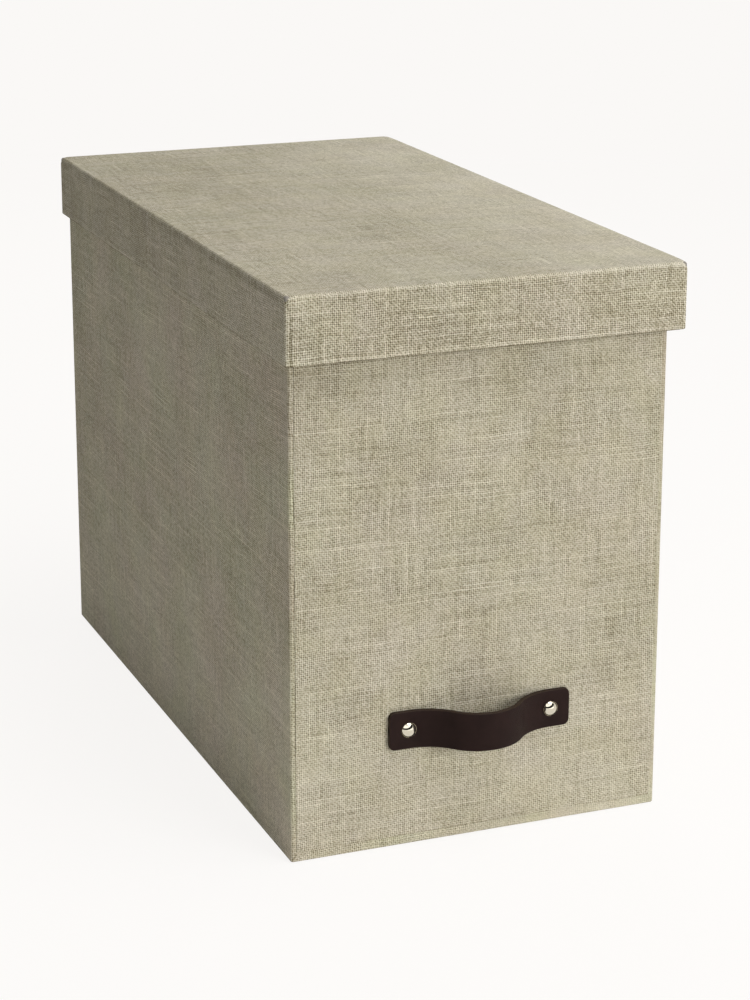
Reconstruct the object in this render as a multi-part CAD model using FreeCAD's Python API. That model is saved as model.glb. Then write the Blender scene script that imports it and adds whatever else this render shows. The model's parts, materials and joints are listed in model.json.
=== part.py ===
import FreeCAD, Part
import math
import os

# A rigid box for hanging files: greyboard walls covered in linen book cloth and lined with
# paper, a lift-off lid with a shallow skirt, a leather strap handle held by two cap rivets low
# on the front, and a steel file rail on a batten inside each end.
# Millimetres. +X is the right of the box, +Y its rear and +Z up. The origin is the middle of
# the underside.

# Sheet materials
board = 2.0                  # greyboard of every wall
cloth = 0.3                  # linen book cloth outside
lining = 0.2                 # lining paper inside

# Box
body_width = 181.0
body_length = 347.0
body_height = 258.5          # underside to rim
body_corner = 1.2            # radius of the upright edges
rim_turn_in = 15.0           # cloth folded over the rim and down inside
base_turn_in = 14.0          # cloth folded under the base
base_margin = 4.0            # bare border round the base sheet
sheet_side_margin = 2.5      # border beside the front and rear sheets
sheet_base_margin = 5.0      # border under them
sheet_rim_margin = 2.0       # border above them

# Lid
lid_skirt = 31.0
lid_clearance = 2.2          # between box and skirt, all round when the lid is centred
lid_rest_x = 1.6             # how far off centre the loose lid rests
lid_rest_y = -1.0
lid_edge = 1.4               # radius of its top and upright edges
lid_turn_in = 12.0           # cloth folded round the skirt's lower edge

# File rails
rail_drop = 12.0             # rail's top edge below the rim
rail_height = 16.0
rail_thickness = 1.0
rail_end_clearance = 1.0     # to the side walls
batten_thickness = 4.6       # holds the rail off the wall, which leaves room for the file hooks
batten_height = 24.0
hook_depth = 8.0             # room for the hooks above the batten
rail_rivet_radius = 1.5
rail_rivet_head_radius = 2.8
rail_rivet_head = 0.7
rail_rivet_count = 3
rail_rivet_pitch = 62.0

# Strap handle
strap_height = 56.6          # strap's centre line above the underside
strap_width = 18.0
strap_thickness = 2.2
strap_length = 88.4          # end to end, along the wall
strap_corner = 2.6
arch_span = 69.8             # between the points where the strap leaves the wall
arch_depth = 15.6            # room for fingers behind the arch
arch_bend = 26.6             # radius of the bend at each foot of the arch
rivet_inset = 9.3            # from the strap's end to its rivet
rivet_radius = 1.5
rivet_clearance = 0.1        # round the post
rivet_cap_radius = 3.6
rivet_cap_height = 2.1
rivet_cap_bite = 1.0         # the post's tip inside the cap
rivet_base_radius = 4.5
rivet_base_thickness = 0.6

# Levels and faces that follow from these
half_width = body_width / 2
half_length = body_length / 2
base_fold_top = 2 * cloth                       # the base sheet and the fold above it
floor_top = base_fold_top + board
board_rim = body_height - cloth
board_width = body_width - 2 * cloth            # over the boards
board_length = body_length - 2 * cloth
inner_width = board_width - 2 * board           # between the boards
inner_length = board_length - 2 * board
clear_width = inner_width - 2 * lining          # between the linings
clear_length = inner_length - 2 * lining
front_face = -half_length - cloth               # outer face of the front sheet
lid_wall = cloth + board + lining
lid_width = body_width + 2 * (lid_clearance + lid_wall)
lid_length = body_length + 2 * (lid_clearance + lid_wall)
lid_top = body_height + lid_wall
lid_base = lid_top - lid_skirt
lid_board_base = lid_base + cloth
lid_board_top = lid_top - cloth
lid_inner_width = lid_width - 2 * (cloth + board)
lid_inner_length = lid_length - 2 * (cloth + board)
rail_top = body_height - rail_drop
rail_length = clear_width - 2 * rail_end_clearance
rail_back = -clear_length / 2 + batten_thickness
batten_top = rail_top - hook_depth
rail_rivet_level = (batten_top + rail_top - rail_height) / 2
rivet_x = strap_length / 2 - rivet_inset

Vec = FreeCAD.Vector


def block(low, high):
    """A box between two opposite corners."""
    return Part.makeBox(*[b - a for a, b in zip(low, high)], Vec(*low))


def centred(width, length, low, high):
    """A box centred on the upright axis, between two levels."""
    return block((-width / 2, -length / 2, low), (width / 2, length / 2, high))


def is_upright(edge):
    low, high = edge.BoundBox.ZMin, edge.BoundBox.ZMax
    return high - low > edge.Length / 2


def rounded(width, length, low, high, radius, top=False):
    """A centred box with rounded upright edges, and rounded top edges where top is set."""
    solid = centred(width, length, low, high)
    edges = [edge for edge in solid.Edges
             if is_upright(edge) or (top and math.isclose(edge.BoundBox.ZMin, high, abs_tol=1e-6))]
    return solid.makeFillet(radius, edges)


def ring(outer_width, outer_length, thickness, low, high):
    """An upright band of sheet just inside the given outline."""
    outer = centred(outer_width, outer_length, low, high)
    return outer.cut(centred(outer_width - 2 * thickness, outer_length - 2 * thickness, low, high))


def rod(radius, start, length):
    """A round bar along Y, from its start towards the rear."""
    return Part.makeCylinder(radius, length, start, Vec(0, 1, 0))


def across(shape):
    """The same piece on the other side of the box, front to rear."""
    return shape.mirror(Vec(0, 0, 0), Vec(0, 1, 0))


def handle_holes(radius):
    """Bars along Y through both strap rivets' places, long enough to cut the whole front wall."""
    reach = strap_thickness + arch_depth + lid_wall + board
    bars = [rod(radius, Vec(side * rivet_x, front_face - reach, strap_height), 2 * reach)
            for side in (-1, 1)]
    return Part.makeCompound(bars)


def rail_holes(radius, start, length):
    """Bars along Y at each rail rivet of the front rail."""
    middle = (rail_rivet_count - 1) / 2
    bars = [rod(radius, Vec((i - middle) * rail_rivet_pitch, start, rail_rivet_level), length)
            for i in range(rail_rivet_count)]
    return Part.makeCompound(bars)


def wall_rail_holes():
    """What the front rail's rivets take out of the wall behind the cloth."""
    start = -half_length + cloth
    return rail_holes(rail_rivet_radius, start, board + lining + batten_thickness + rail_thickness)


def wall_boards():
    """Front and rear boards run the full width, and the side boards stand between them."""
    boards = rounded(board_width, board_length, base_fold_top, board_rim, body_corner - cloth)
    edge_x, edge_y = board_width / 2, board_length / 2
    inner_x, inner_y = inner_width / 2, inner_length / 2
    front = boards.common(block((-edge_x, -edge_y, 0), (edge_x, -inner_y, body_height)))
    left = block((-edge_x, -inner_y, base_fold_top), (-inner_x, inner_y, board_rim))
    right = block((inner_x, -inner_y, base_fold_top), (edge_x, inner_y, board_rim))
    front = front.cut(wall_rail_holes())
    rear = across(front)
    front = front.cut(handle_holes(rivet_radius + rivet_clearance))
    return {"front_board": front, "rear_board": rear, "left_board": left, "right_board": right}


def floor_board():
    return centred(inner_width, inner_length, base_fold_top, floor_top)


def body_cloth():
    """Cloth round the walls, folded over the rim and down inside, and folded under the base."""
    boards = rounded(board_width, board_length, base_fold_top, board_rim, body_corner - cloth)
    wrap = rounded(body_width, body_length, cloth, body_height, body_corner).cut(boards)
    wrap = wrap.cut(centred(inner_width, inner_length, board_rim, body_height))
    window = centred(body_width - 2 * base_turn_in, body_length - 2 * base_turn_in,
                     cloth, base_fold_top)
    inside = ring(inner_width, inner_length, cloth, body_height - rim_turn_in, body_height)
    wrap = wrap.cut(window).fuse(inside).removeSplitter()
    return wrap.cut(handle_holes(rivet_radius + rivet_clearance))


def base_sheet():
    """Cloth sheet on the underside, pressed into the window that the folded cloth leaves."""
    sheet = centred(body_width - 2 * base_margin, body_length - 2 * base_margin, 0, cloth)
    pressed = centred(body_width - 2 * base_turn_in, body_length - 2 * base_turn_in,
                      cloth, base_fold_top)
    return sheet.fuse(pressed).removeSplitter()


def end_sheets():
    """The cloth panels glued over the front and rear, which stop short of the edges."""
    edge = half_width - sheet_side_margin
    panel = block((-edge, front_face, sheet_base_margin),
                  (edge, -half_length, body_height - sheet_rim_margin))
    front = panel.cut(handle_holes(rivet_radius + rivet_clearance))
    return {"front_sheet": front, "rear_sheet": across(panel)}


def linings():
    """Paper on the floor and up the walls to the folded cloth."""
    floor = centred(inner_width, inner_length, floor_top, floor_top + lining)
    walls = ring(inner_width, inner_length, lining, floor_top + lining, body_height - rim_turn_in)
    walls = walls.cut(wall_rail_holes()).cut(across(wall_rail_holes()))
    walls = walls.cut(handle_holes(rivet_radius + rivet_clearance))
    return {"floor_lining": floor, "wall_lining": walls}


def file_rail():
    """One rail, its batten and its rivets, at the front."""
    half = rail_length / 2
    wall_face = -clear_length / 2
    batten = block((-half, wall_face, batten_top - batten_height), (half, rail_back, batten_top))
    rail = block((-half, rail_back, rail_top - rail_height),
                 (half, rail_back + rail_thickness, rail_top))
    rail_face = rail_back + rail_thickness
    shank_start = -half_length + cloth
    shanks = rail_holes(rail_rivet_radius, shank_start, rail_face - shank_start)
    heads = rail_holes(rail_rivet_head_radius, rail_face, rail_rivet_head)
    rivets = [shank.fuse(head).removeSplitter()
              for shank, head in zip(shanks.Solids, heads.Solids)]
    return {"batten": batten.cut(shanks), "rail": rail.cut(shanks),
            "rail_rivets": Part.makeCompound(rivets)}


def file_rails():
    pieces = {}
    for name, shape in file_rail().items():
        pieces["front_" + name] = shape
        pieces["rear_" + name] = across(shape)
    return pieces


def arch_face(offset):
    """One long face of the strap, a given distance from its inner face, left to right.

    Each half is a hollow arc at the foot and a round arc to the crown, and both turn by the
    same angle. Distances are measured out from the wall."""
    half = arch_span / 2
    turn = 2 * math.atan(arch_depth / half)
    crown = half / math.sin(turn) - arch_bend
    foot_centre = (half, arch_bend)
    crown_centre = (0, arch_depth - crown)

    def foot(angle):
        reach = arch_bend - offset
        return foot_centre[0] - reach * math.sin(angle), foot_centre[1] - reach * math.cos(angle)

    def top(angle):
        reach = crown + offset
        return crown_centre[0] + reach * math.sin(angle), crown_centre[1] + reach * math.cos(angle)

    def point(across_box, out):
        return Vec(across_box, front_face - out, strap_height - strap_width / 2)

    end = strap_length / 2
    left = [(-x, y) for x, y in (foot(0), foot(turn / 2), foot(turn))]
    right = [foot(turn), foot(turn / 2), foot(0)]
    edges = [Part.LineSegment(point(-end, offset), point(*left[0])).toShape(),
             Part.Arc(*[point(*p) for p in left]).toShape(),
             Part.Arc(point(*top(-turn)), point(*top(0)), point(*top(turn))).toShape(),
             Part.Arc(*[point(*p) for p in right]).toShape(),
             Part.LineSegment(point(*right[-1]), point(end, offset)).toShape()]
    return edges


def handle_strap():
    """Strap with flat ends on the front, an arch between them, and flat seats for the caps."""
    inner, outer = arch_face(0), arch_face(strap_thickness)
    ends = [Part.LineSegment(inner[i].Vertexes[i].Point, outer[i].Vertexes[i].Point).toShape()
            for i in (0, -1)]
    outline = Part.Wire(Part.sortEdges(inner + outer + ends)[0])
    strap = Part.Face(outline).extrude(Vec(0, 0, strap_width))
    corners = [edge for edge in strap.Edges
               if math.isclose(abs(edge.CenterOfMass.x), strap_length / 2, abs_tol=1e-6)
               and math.isclose(edge.Length, strap_thickness, abs_tol=1e-6)]
    strap = strap.makeFillet(strap_corner, corners)
    reach = arch_depth + strap_thickness
    for side in (-1, 1):
        start = Vec(side * rivet_x, front_face - strap_thickness - reach, strap_height)
        strap = strap.cut(rod(rivet_cap_radius + rivet_clearance, start, reach))
    return strap.cut(handle_holes(rivet_radius + rivet_clearance))


def rivet_cap(centre_x):
    """Domed cap with a blind hole for the post's tip."""
    seat = front_face - strap_thickness
    ball = (rivet_cap_radius ** 2 + rivet_cap_height ** 2) / (2 * rivet_cap_height)
    centre = Vec(centre_x, seat - rivet_cap_height + ball, strap_height)
    dome = Part.makeSphere(ball, centre)
    dome = dome.common(rod(ball, Vec(centre_x, seat - ball, strap_height), ball))
    return dome.cut(rod(rivet_radius, Vec(centre_x, seat - rivet_cap_bite, strap_height),
                        rivet_cap_bite))


def rivet_post(centre_x):
    """Post through the strap and the wall, with its flat base inside the box."""
    tip = front_face - strap_thickness - rivet_cap_bite
    base = -clear_length / 2
    post = rod(rivet_radius, Vec(centre_x, tip, strap_height), base - tip)
    return post.fuse(rod(rivet_base_radius, Vec(centre_x, base, strap_height),
                         rivet_base_thickness)).removeSplitter()


def handle():
    sides = (-rivet_x, rivet_x)
    return {"handle_strap": handle_strap(),
            "handle_rivet_caps": Part.makeCompound([rivet_cap(x) for x in sides]),
            "handle_rivet_posts": Part.makeCompound([rivet_post(x) for x in sides])}


def lid_boards():
    """The top board lies on the skirt boards, and the side ones stand between front and rear."""
    boards = lid_board_block()
    edge_x, edge_y = lid_width / 2 - cloth, lid_length / 2 - cloth
    inner_x, inner_y = lid_inner_width / 2, lid_inner_length / 2
    under = lid_board_top - board
    top = boards.common(centred(lid_width, lid_length, under, lid_board_top))
    skirt = boards.common(centred(lid_width, lid_length, lid_board_base, under))
    front = skirt.common(block((-edge_x, -edge_y, lid_base), (edge_x, -inner_y, lid_top)))
    left = skirt.common(block((-edge_x, -inner_y, lid_base), (-inner_x, inner_y, lid_top)))
    right = skirt.common(block((inner_x, -inner_y, lid_base), (edge_x, inner_y, lid_top)))
    return {"lid_top_board": top, "lid_front_board": front, "lid_rear_board": across(front),
            "lid_left_board": left, "lid_right_board": right}


def lid_board_block():
    """The outside of all the lid's boards together."""
    return rounded(lid_width - 2 * cloth, lid_length - 2 * cloth, lid_board_base, lid_board_top,
                   lid_edge - cloth, top=True)


def lid_cloth():
    """Cloth over the top and the skirt, folded round its lower edge and up inside."""
    wrap = rounded(lid_width, lid_length, lid_base, lid_top, lid_edge, top=True)
    wrap = wrap.cut(lid_board_block())
    wrap = wrap.cut(centred(lid_inner_width, lid_inner_length, lid_base, lid_board_base))
    inside = ring(lid_inner_width, lid_inner_length, cloth, lid_base, lid_base + lid_turn_in)
    return wrap.fuse(inside).removeSplitter()


def lid_linings():
    """Paper under the top board, which rests on the rim, and inside the skirt."""
    top = centred(lid_inner_width, lid_inner_length, body_height, body_height + lining)
    skirt = ring(lid_inner_width, lid_inner_length, lining, lid_base + lid_turn_in, body_height)
    return {"lid_top_lining": top, "lid_skirt_lining": skirt}


def lid():
    """The lid's pieces, resting a little off centre on the rim."""
    pieces = {"lid_cloth": lid_cloth(), **lid_boards(), **lid_linings()}
    off_centre = Vec(lid_rest_x, lid_rest_y, 0)
    return {name: shape.translated(off_centre) for name, shape in pieces.items()}


def all_pieces():
    pieces = {"floor_board": floor_board(), "body_cloth": body_cloth(), "base_sheet": base_sheet()}
    for group in (wall_boards, end_sheets, linings, file_rails, handle, lid):
        pieces.update(group())
    return pieces


os.makedirs("parts", exist_ok=True)
for name, shape in all_pieces().items():
    shape.exportStep("parts/" + name + ".step")
    print(name, len(shape.Solids), "solid", round(shape.Volume, 1), "mm3",
          "valid" if shape.isValid() else "INVALID")
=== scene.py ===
import json
import math

import bmesh
import bpy
from mathutils import Matrix, Vector, noise

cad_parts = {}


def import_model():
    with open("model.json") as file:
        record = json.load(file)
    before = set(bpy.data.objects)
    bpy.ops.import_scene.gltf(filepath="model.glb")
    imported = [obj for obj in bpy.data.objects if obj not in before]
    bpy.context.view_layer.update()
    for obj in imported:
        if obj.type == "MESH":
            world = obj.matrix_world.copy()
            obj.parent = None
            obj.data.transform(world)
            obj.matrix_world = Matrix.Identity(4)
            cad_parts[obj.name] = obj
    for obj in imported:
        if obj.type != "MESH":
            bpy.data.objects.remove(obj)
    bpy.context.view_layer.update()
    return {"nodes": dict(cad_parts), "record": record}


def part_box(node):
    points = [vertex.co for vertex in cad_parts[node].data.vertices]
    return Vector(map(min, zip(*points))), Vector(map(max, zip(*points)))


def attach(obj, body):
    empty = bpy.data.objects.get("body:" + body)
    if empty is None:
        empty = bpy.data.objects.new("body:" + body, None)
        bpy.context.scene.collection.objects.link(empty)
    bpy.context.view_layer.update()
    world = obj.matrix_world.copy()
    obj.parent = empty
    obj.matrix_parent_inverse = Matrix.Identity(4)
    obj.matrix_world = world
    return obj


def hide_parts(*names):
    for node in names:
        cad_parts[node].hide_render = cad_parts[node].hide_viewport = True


# The looks of a rigid hanging-file box in natural linen book cloth: the lift-off lid, the
# leather strap with its domed nickel rivets, and the lined inside with its steel rails.
# Metres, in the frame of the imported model: +X right, +Y to the rear, +Z up.

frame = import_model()
MM = 0.001

CLOTH = 0.3 * MM                 # the cloth's thickness
WALL = 2.3 * MM                  # a board with the cloth on its outside
EDGE_SOFTNESS = 0.8 * MM         # rounding of a cloth-covered board edge
FINE_STEP = 0.5 * MM             # spacing of vertices near an edge
STRAP_LEVEL = 56.6 * MM          # the strap's middle, above the base


# ---------------------------------------------------------------- shader graphs

MIX_INPUTS = (0, 6, 7)           # a colour Mix node's factor and its two colours
MIX_OUTPUT = 2                   # and its blended colour


def srgb(red, green, blue):
    """A colour written as 8-bit sRGB, as the linear values that a socket takes."""
    def linear(value):
        value /= 255
        return value / 12.92 if value <= 0.04045 else ((value + 0.055) / 1.055) ** 2.4
    return (linear(red), linear(green), linear(blue), 1.0)


class Graph:
    """One material's node tree, with a short call for each kind of node that it needs."""

    def __init__(self, name):
        self.material = bpy.data.materials.new(name)
        self.material.use_nodes = True
        self.tree = self.material.node_tree
        self.tree.nodes.clear()
        self.output = self.tree.nodes.new("ShaderNodeOutputMaterial")

    def node(self, kind, inputs=None, **settings):
        made = self.tree.nodes.new("ShaderNode" + kind)
        for key, value in settings.items():
            setattr(made, key, value)
        for key, value in (inputs or {}).items():
            self.plug(made.inputs[key], value)
        return made

    def plug(self, socket, value):
        """Links a socket to another node's output, or sets it to a value."""
        if isinstance(value, bpy.types.NodeSocket):
            self.tree.links.new(value, socket)
        else:
            socket.default_value = value

    def math(self, operation, first, second=0.0, third=0.0):
        inputs = {0: first, 1: second, 2: third}
        return self.node("Math", inputs, operation=operation).outputs[0]

    def about_zero(self, value):
        """A noise that runs from 0 to 1, shifted to run as far below 0 as above it."""
        return self.math("SUBTRACT", value, 0.5)

    def vector(self, operation, first, second=(0, 0, 0)):
        return self.node("VectorMath", {0: first, 1: second}, operation=operation).outputs[0]

    def scaled(self, vector, factor):
        return self.node("VectorMath", {0: vector, 3: factor}, operation="SCALE").outputs[0]

    def combine(self, x, y, z=0.0):
        return self.node("CombineXYZ", {0: x, 1: y, 2: z}).outputs[0]

    def split(self, vector):
        return self.node("SeparateXYZ", {0: vector}).outputs

    def noise(self, vector, scale=1.0, detail=2.0, roughness=0.5, output="Fac"):
        inputs = {"Vector": vector, "Scale": scale, "Detail": detail, "Roughness": roughness}
        return self.node("TexNoise", inputs).outputs[output]

    def smooth(self, value, low, high, to_low=0.0, to_high=1.0):
        """Eases value from to_low to to_high while it goes from low to high."""
        inputs = {0: value, 1: low, 2: high, 3: to_low, 4: to_high}
        return self.node("MapRange", inputs, interpolation_type="SMOOTHSTEP").outputs[0]

    def ramp(self, value, stops):
        """The colour at a value between 0 and 1, from stops of (place, colour)."""
        made = self.node("ValToRGB", {0: value})
        ramp = made.color_ramp
        while len(ramp.elements) < len(stops):
            ramp.elements.new(0.5)
        for element, (place, colour) in zip(ramp.elements, stops):
            element.position = place
            element.color = colour
        return made.outputs[0]

    def mix(self, factor, first, second, blend="MIX"):
        inputs = dict(zip(MIX_INPUTS, (factor, first, second)))
        return self.node("Mix", inputs, data_type="RGBA", blend_type=blend).outputs[MIX_OUTPUT]

    def bump(self, height, distance, strength=1.0):
        inputs = {"Height": height, "Distance": distance, "Strength": strength}
        return self.node("Bump", inputs).outputs[0]

    def surface(self, **inputs):
        """The Principled shader, by its sockets' names with underscores for spaces."""
        named = {key.replace("_", " "): value for key, value in inputs.items()}
        shader = self.node("BsdfPrincipled", named)
        self.plug(self.output.inputs[0], shader.outputs[0])
        return self.material


# ---------------------------------------------------------------- materials

CLOTH_DARK = srgb(93, 82, 50)
CLOTH_MIDDLE = srgb(186, 178, 156)
CLOTH_LIGHT = srgb(229, 222, 206)
STRAW = srgb(255, 255, 250)      # multiplies the cloth's colour in its yellower patches
THREAD_PITCH = 0.985             # millimetres from thread to thread
BOW = 0.45                       # how much of a crossing's height is bowed along the thread
PANEL_CONTRAST, WRAP_CONTRAST, LID_CONTRAST = 0.88, 1.2, 1.08

# A tone runs from 0, the cloth's dark colour, over 0.5 to 1, its light one. These are the
# cloth's mean tone and how far each trait of the weave takes a point away from it.
MEAN_TONE = 0.49
HEIGHT_TONE = 0.62               # the crown of a thread, against its flanks
SLANT_TONE = 0.085               # the twist of the yarn
HOLE_TONE = -0.68                # a gap between threads
CROSSING_TONE = 0.24             # one crossing against the next
SLUB_TONE = 0.17                 # a thick stretch of thread
THIN_TONE = -0.09                # a thin stretch of thread
GRAIN_TONE = 0.46                # loose fibres
CLOUD_TONE = 0.35                # wide soft patches


def linen(name, offset, contrast=PANEL_CONTRAST, drift=1):
    """Natural linen book cloth in plain weave, laid out on the mesh's own map in metres.

    The offset, in millimetres, keeps two panels from showing the same threads. The contrast
    is the weave's, and the drift is how far the hue changes in patches, in levels of 255.
    The mesh may carry two numbers of its own: "shade" lightens or darkens the cloth, mostly as
    painted light and shade (lighter feet, painted highlights along edges, painted shade in a
    crease, under the lid and towards the rear) and also for the cloth's own darker cut edges and
    seams; "pressed" takes some of the weave's contrast away.
    """
    g = Graph(name)
    flat = g.node("UVMap", uv_map="cloth").outputs[0]
    place = g.vector("ADD", g.scaled(flat, 1 / MM), (offset, 2 * offset, 0))

    def stray(frequency, reach):
        """How far the threads stray from straight lines, in millimetres."""
        noise_colour = g.noise(place, frequency, 1.0, output="Color")
        return g.scaled(g.vector("SUBTRACT", noise_colour, (0.5, 0.5, 0.5)), reach)

    wander = g.vector("ADD", stray(0.035, 2.2), stray(0.25, 0.7))
    x, y, _ = g.split(g.vector("ADD", place, wander))
    across, along = g.math("DIVIDE", x, THREAD_PITCH), g.math("DIVIDE", y, THREAD_PITCH)
    warp, weft = g.math("FLOOR", across), g.math("FLOOR", along)

    def roundness(position):
        """0 between two threads and 1 on the middle of one."""
        return g.math("ABSOLUTE", g.math("SINE", g.math("MULTIPLY", position, math.pi)))

    warp_round, weft_round = roundness(across), roundness(along)

    def slubs(thread, length, stretch, seed):
        """Each thread's own thickness along its length."""
        at = g.combine(g.math("MULTIPLY", thread, 3.7), g.math("MULTIPLY", length, stretch), seed)
        return g.noise(at, 1.0, 1.0)

    warp_slub, weft_slub = slubs(warp, y, 0.032, 3.0), slubs(weft, x, 0.016, 11.0)
    odd = g.math("ABSOLUTE", g.math("MODULO", g.math("ADD", warp, weft), 2.0))

    def crown(side, length):
        """Height of a thread where it lies over the other: round across, bowed along."""
        return g.math("MULTIPLY", side, g.math("MULTIPLY_ADD", length, BOW, 1 - BOW))

    over_warp, over_weft = crown(warp_round, weft_round), crown(weft_round, warp_round)
    height = g.math("ADD", g.math("MULTIPLY", over_warp, odd),
                    g.math("MULTIPLY", over_weft, g.math("SUBTRACT", 1.0, odd)))

    def twill(diagonal):
        """Light and dark by turns along a diagonal, two crossings to a turn."""
        return g.math("COSINE", g.math("MULTIPLY", diagonal, math.pi))

    slant = g.math("MULTIPLY_ADD", twill(g.math("SUBTRACT", across, along)), 0.4,
                   twill(g.math("ADD", across, along)))

    gap = g.math("MULTIPLY", g.math("SUBTRACT", 1.0, warp_round),
                 g.math("SUBTRACT", 1.0, weft_round))
    corner = g.combine(g.math("ROUND", across), g.math("ROUND", along))
    chance = g.node("TexWhiteNoise", {"Vector": corner}, noise_dimensions="2D").outputs[0]
    openness = g.smooth(g.noise(place, 0.08, 1.5, 0.5), 0.34, 0.66, 0.6, 1.05)
    hole = g.math("MULTIPLY", g.math("MULTIPLY", gap, openness), g.smooth(chance, 0.1, 1.0))
    crossing = g.combine(warp, weft, 5.0)
    cell = g.node("TexWhiteNoise", {"Vector": crossing}, noise_dimensions="3D").outputs[0]

    thick = g.math("ADD", g.math("MULTIPLY", g.smooth(warp_slub, 0.58, 0.74), warp_round),
                   g.math("MULTIPLY", g.smooth(weft_slub, 0.56, 0.72), weft_round))
    thin = g.math("ADD", g.smooth(warp_slub, 0.46, 0.30), g.smooth(weft_slub, 0.46, 0.30))
    cloud = g.noise(place, 0.022, 3.0, 0.55)
    grain = g.noise(place, 1.1, 2.0, 0.7)
    pressed = g.node("Attribute", attribute_name="pressed").outputs["Fac"]
    shade = g.node("Attribute", attribute_name="shade").outputs["Fac"]
    crisp = g.math("MULTIPLY_ADD", pressed, -contrast, contrast)

    weave = g.math("MULTIPLY", g.about_zero(height), g.math("MULTIPLY", openness, HEIGHT_TONE))
    for trait, amount in ((slant, SLANT_TONE), (hole, HOLE_TONE),
                          (g.about_zero(cell), CROSSING_TONE), (thick, SLUB_TONE),
                          (g.about_zero(grain), GRAIN_TONE)):
        weave = g.math("MULTIPLY_ADD", trait, amount, weave)
    tone = g.math("MULTIPLY_ADD", weave, crisp, MEAN_TONE)
    for trait, amount in ((thin, THIN_TONE), (g.about_zero(cloud), CLOUD_TONE)):
        tone = g.math("MULTIPLY_ADD", trait, amount, tone)
    # the mesh's painted light and shade, and its cut edges' own tone
    tone = g.math("ADD", tone, shade)

    colour = g.ramp(tone, [(0.0, CLOTH_DARK), (0.5, CLOTH_MIDDLE), (1.0, CLOTH_LIGHT)])
    straw = g.smooth(g.noise(place, 0.05, 2.0), 0.35, 0.65)
    colour = g.mix(straw, colour, g.mix(1.0, colour, STRAW, "MULTIPLY"))
    blotch = g.noise(g.vector("ADD", place, (311.0, 97.0, 0.0)), 0.021, 2.0)
    tint = g.ramp(blotch, [(0.34, srgb(255, 255 - drift, 255 - drift)),
                           (0.66, srgb(255 - drift, 255, 255 - 2 * drift))])
    colour = g.mix(1.0, colour, tint, "MULTIPLY")
    relief = g.math("SUBTRACT", g.math("MULTIPLY_ADD", thick, 0.25, height),
                    g.math("MULTIPLY", hole, 0.8))
    return g.surface(Base_Color=colour, Roughness=0.82, Specular_IOR_Level=0.25,
                     Sheen_Weight=0.08, Sheen_Roughness=0.6,
                     Normal=g.bump(relief, 0.13 * MM, 0.6))


def object_place(g, factor=1 / MM):
    """The point's own place on the object: in millimetres, or in metres for a factor of 1."""
    return g.scaled(g.node("TexCoord").outputs["Object"], factor)


def greyboard():
    """Recycled grey board: flecks and short fibres."""
    g = Graph("greyboard")
    place = object_place(g)
    fibre = g.noise(g.vector("MULTIPLY", place, (1.0, 0.35, 1.0)), 1.6, 5.0, 0.75)
    fleck = g.smooth(g.noise(place, 2.6, 2.0), 0.66, 0.74)
    colour = g.ramp(fibre, [(0.25, srgb(128, 122, 113)), (0.75, srgb(166, 160, 150))])
    colour = g.mix(g.math("MULTIPLY", fleck, 0.5), colour, srgb(86, 80, 74))
    return g.surface(Base_Color=colour, Roughness=0.92, Specular_IOR_Level=0.15,
                     Normal=g.bump(fibre, 0.12 * MM))


def lining_paper():
    """Uncoated cream lining paper with a fine felt mark."""
    g = Graph("lining_paper")
    place = object_place(g)
    felt = g.noise(place, 1.9, 4.0, 0.7)
    cloud = g.noise(place, 0.03, 2.0)
    tone = g.math("MULTIPLY_ADD", felt, 0.4, g.math("MULTIPLY", cloud, 0.6))
    colour = g.ramp(tone, [(0.3, srgb(214, 206, 187)), (0.7, srgb(229, 222, 205))])
    return g.surface(Base_Color=colour, Roughness=0.88, Specular_IOR_Level=0.2,
                     Normal=g.bump(felt, 0.05 * MM))


def strip_steel():
    """Zinc-plated strip with rolling lines along its length."""
    g = Graph("strip_steel")
    place = object_place(g)
    rolled = g.noise(g.vector("MULTIPLY", place, (0.04, 4.0, 4.0)), 1.0, 3.0, 0.6)
    bloom = g.noise(place, 0.12, 3.0)
    tone = g.math("MULTIPLY_ADD", rolled, 0.5, g.math("MULTIPLY", bloom, 0.5))
    colour = g.ramp(tone, [(0.3, srgb(176, 177, 178)), (0.7, srgb(206, 206, 204))])
    rough = g.smooth(bloom, 0.3, 0.7, 0.38, 0.48)
    return g.surface(Base_Color=colour, Metallic=1.0, Roughness=rough,
                     Normal=g.bump(rolled, 0.02 * MM))


def nickel():
    """Bright nickel plate, with faint polishing haze."""
    g = Graph("nickel")
    haze = g.noise(object_place(g), 1.2, 3.0, 0.6)
    colour = g.ramp(haze, [(0.3, srgb(208, 200, 182)), (0.7, srgb(216, 209, 192))])
    rough = g.smooth(haze, 0.3, 0.7, 0.03, 0.07)
    return g.surface(Base_Color=colour, Metallic=1.0, Roughness=rough)


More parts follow.
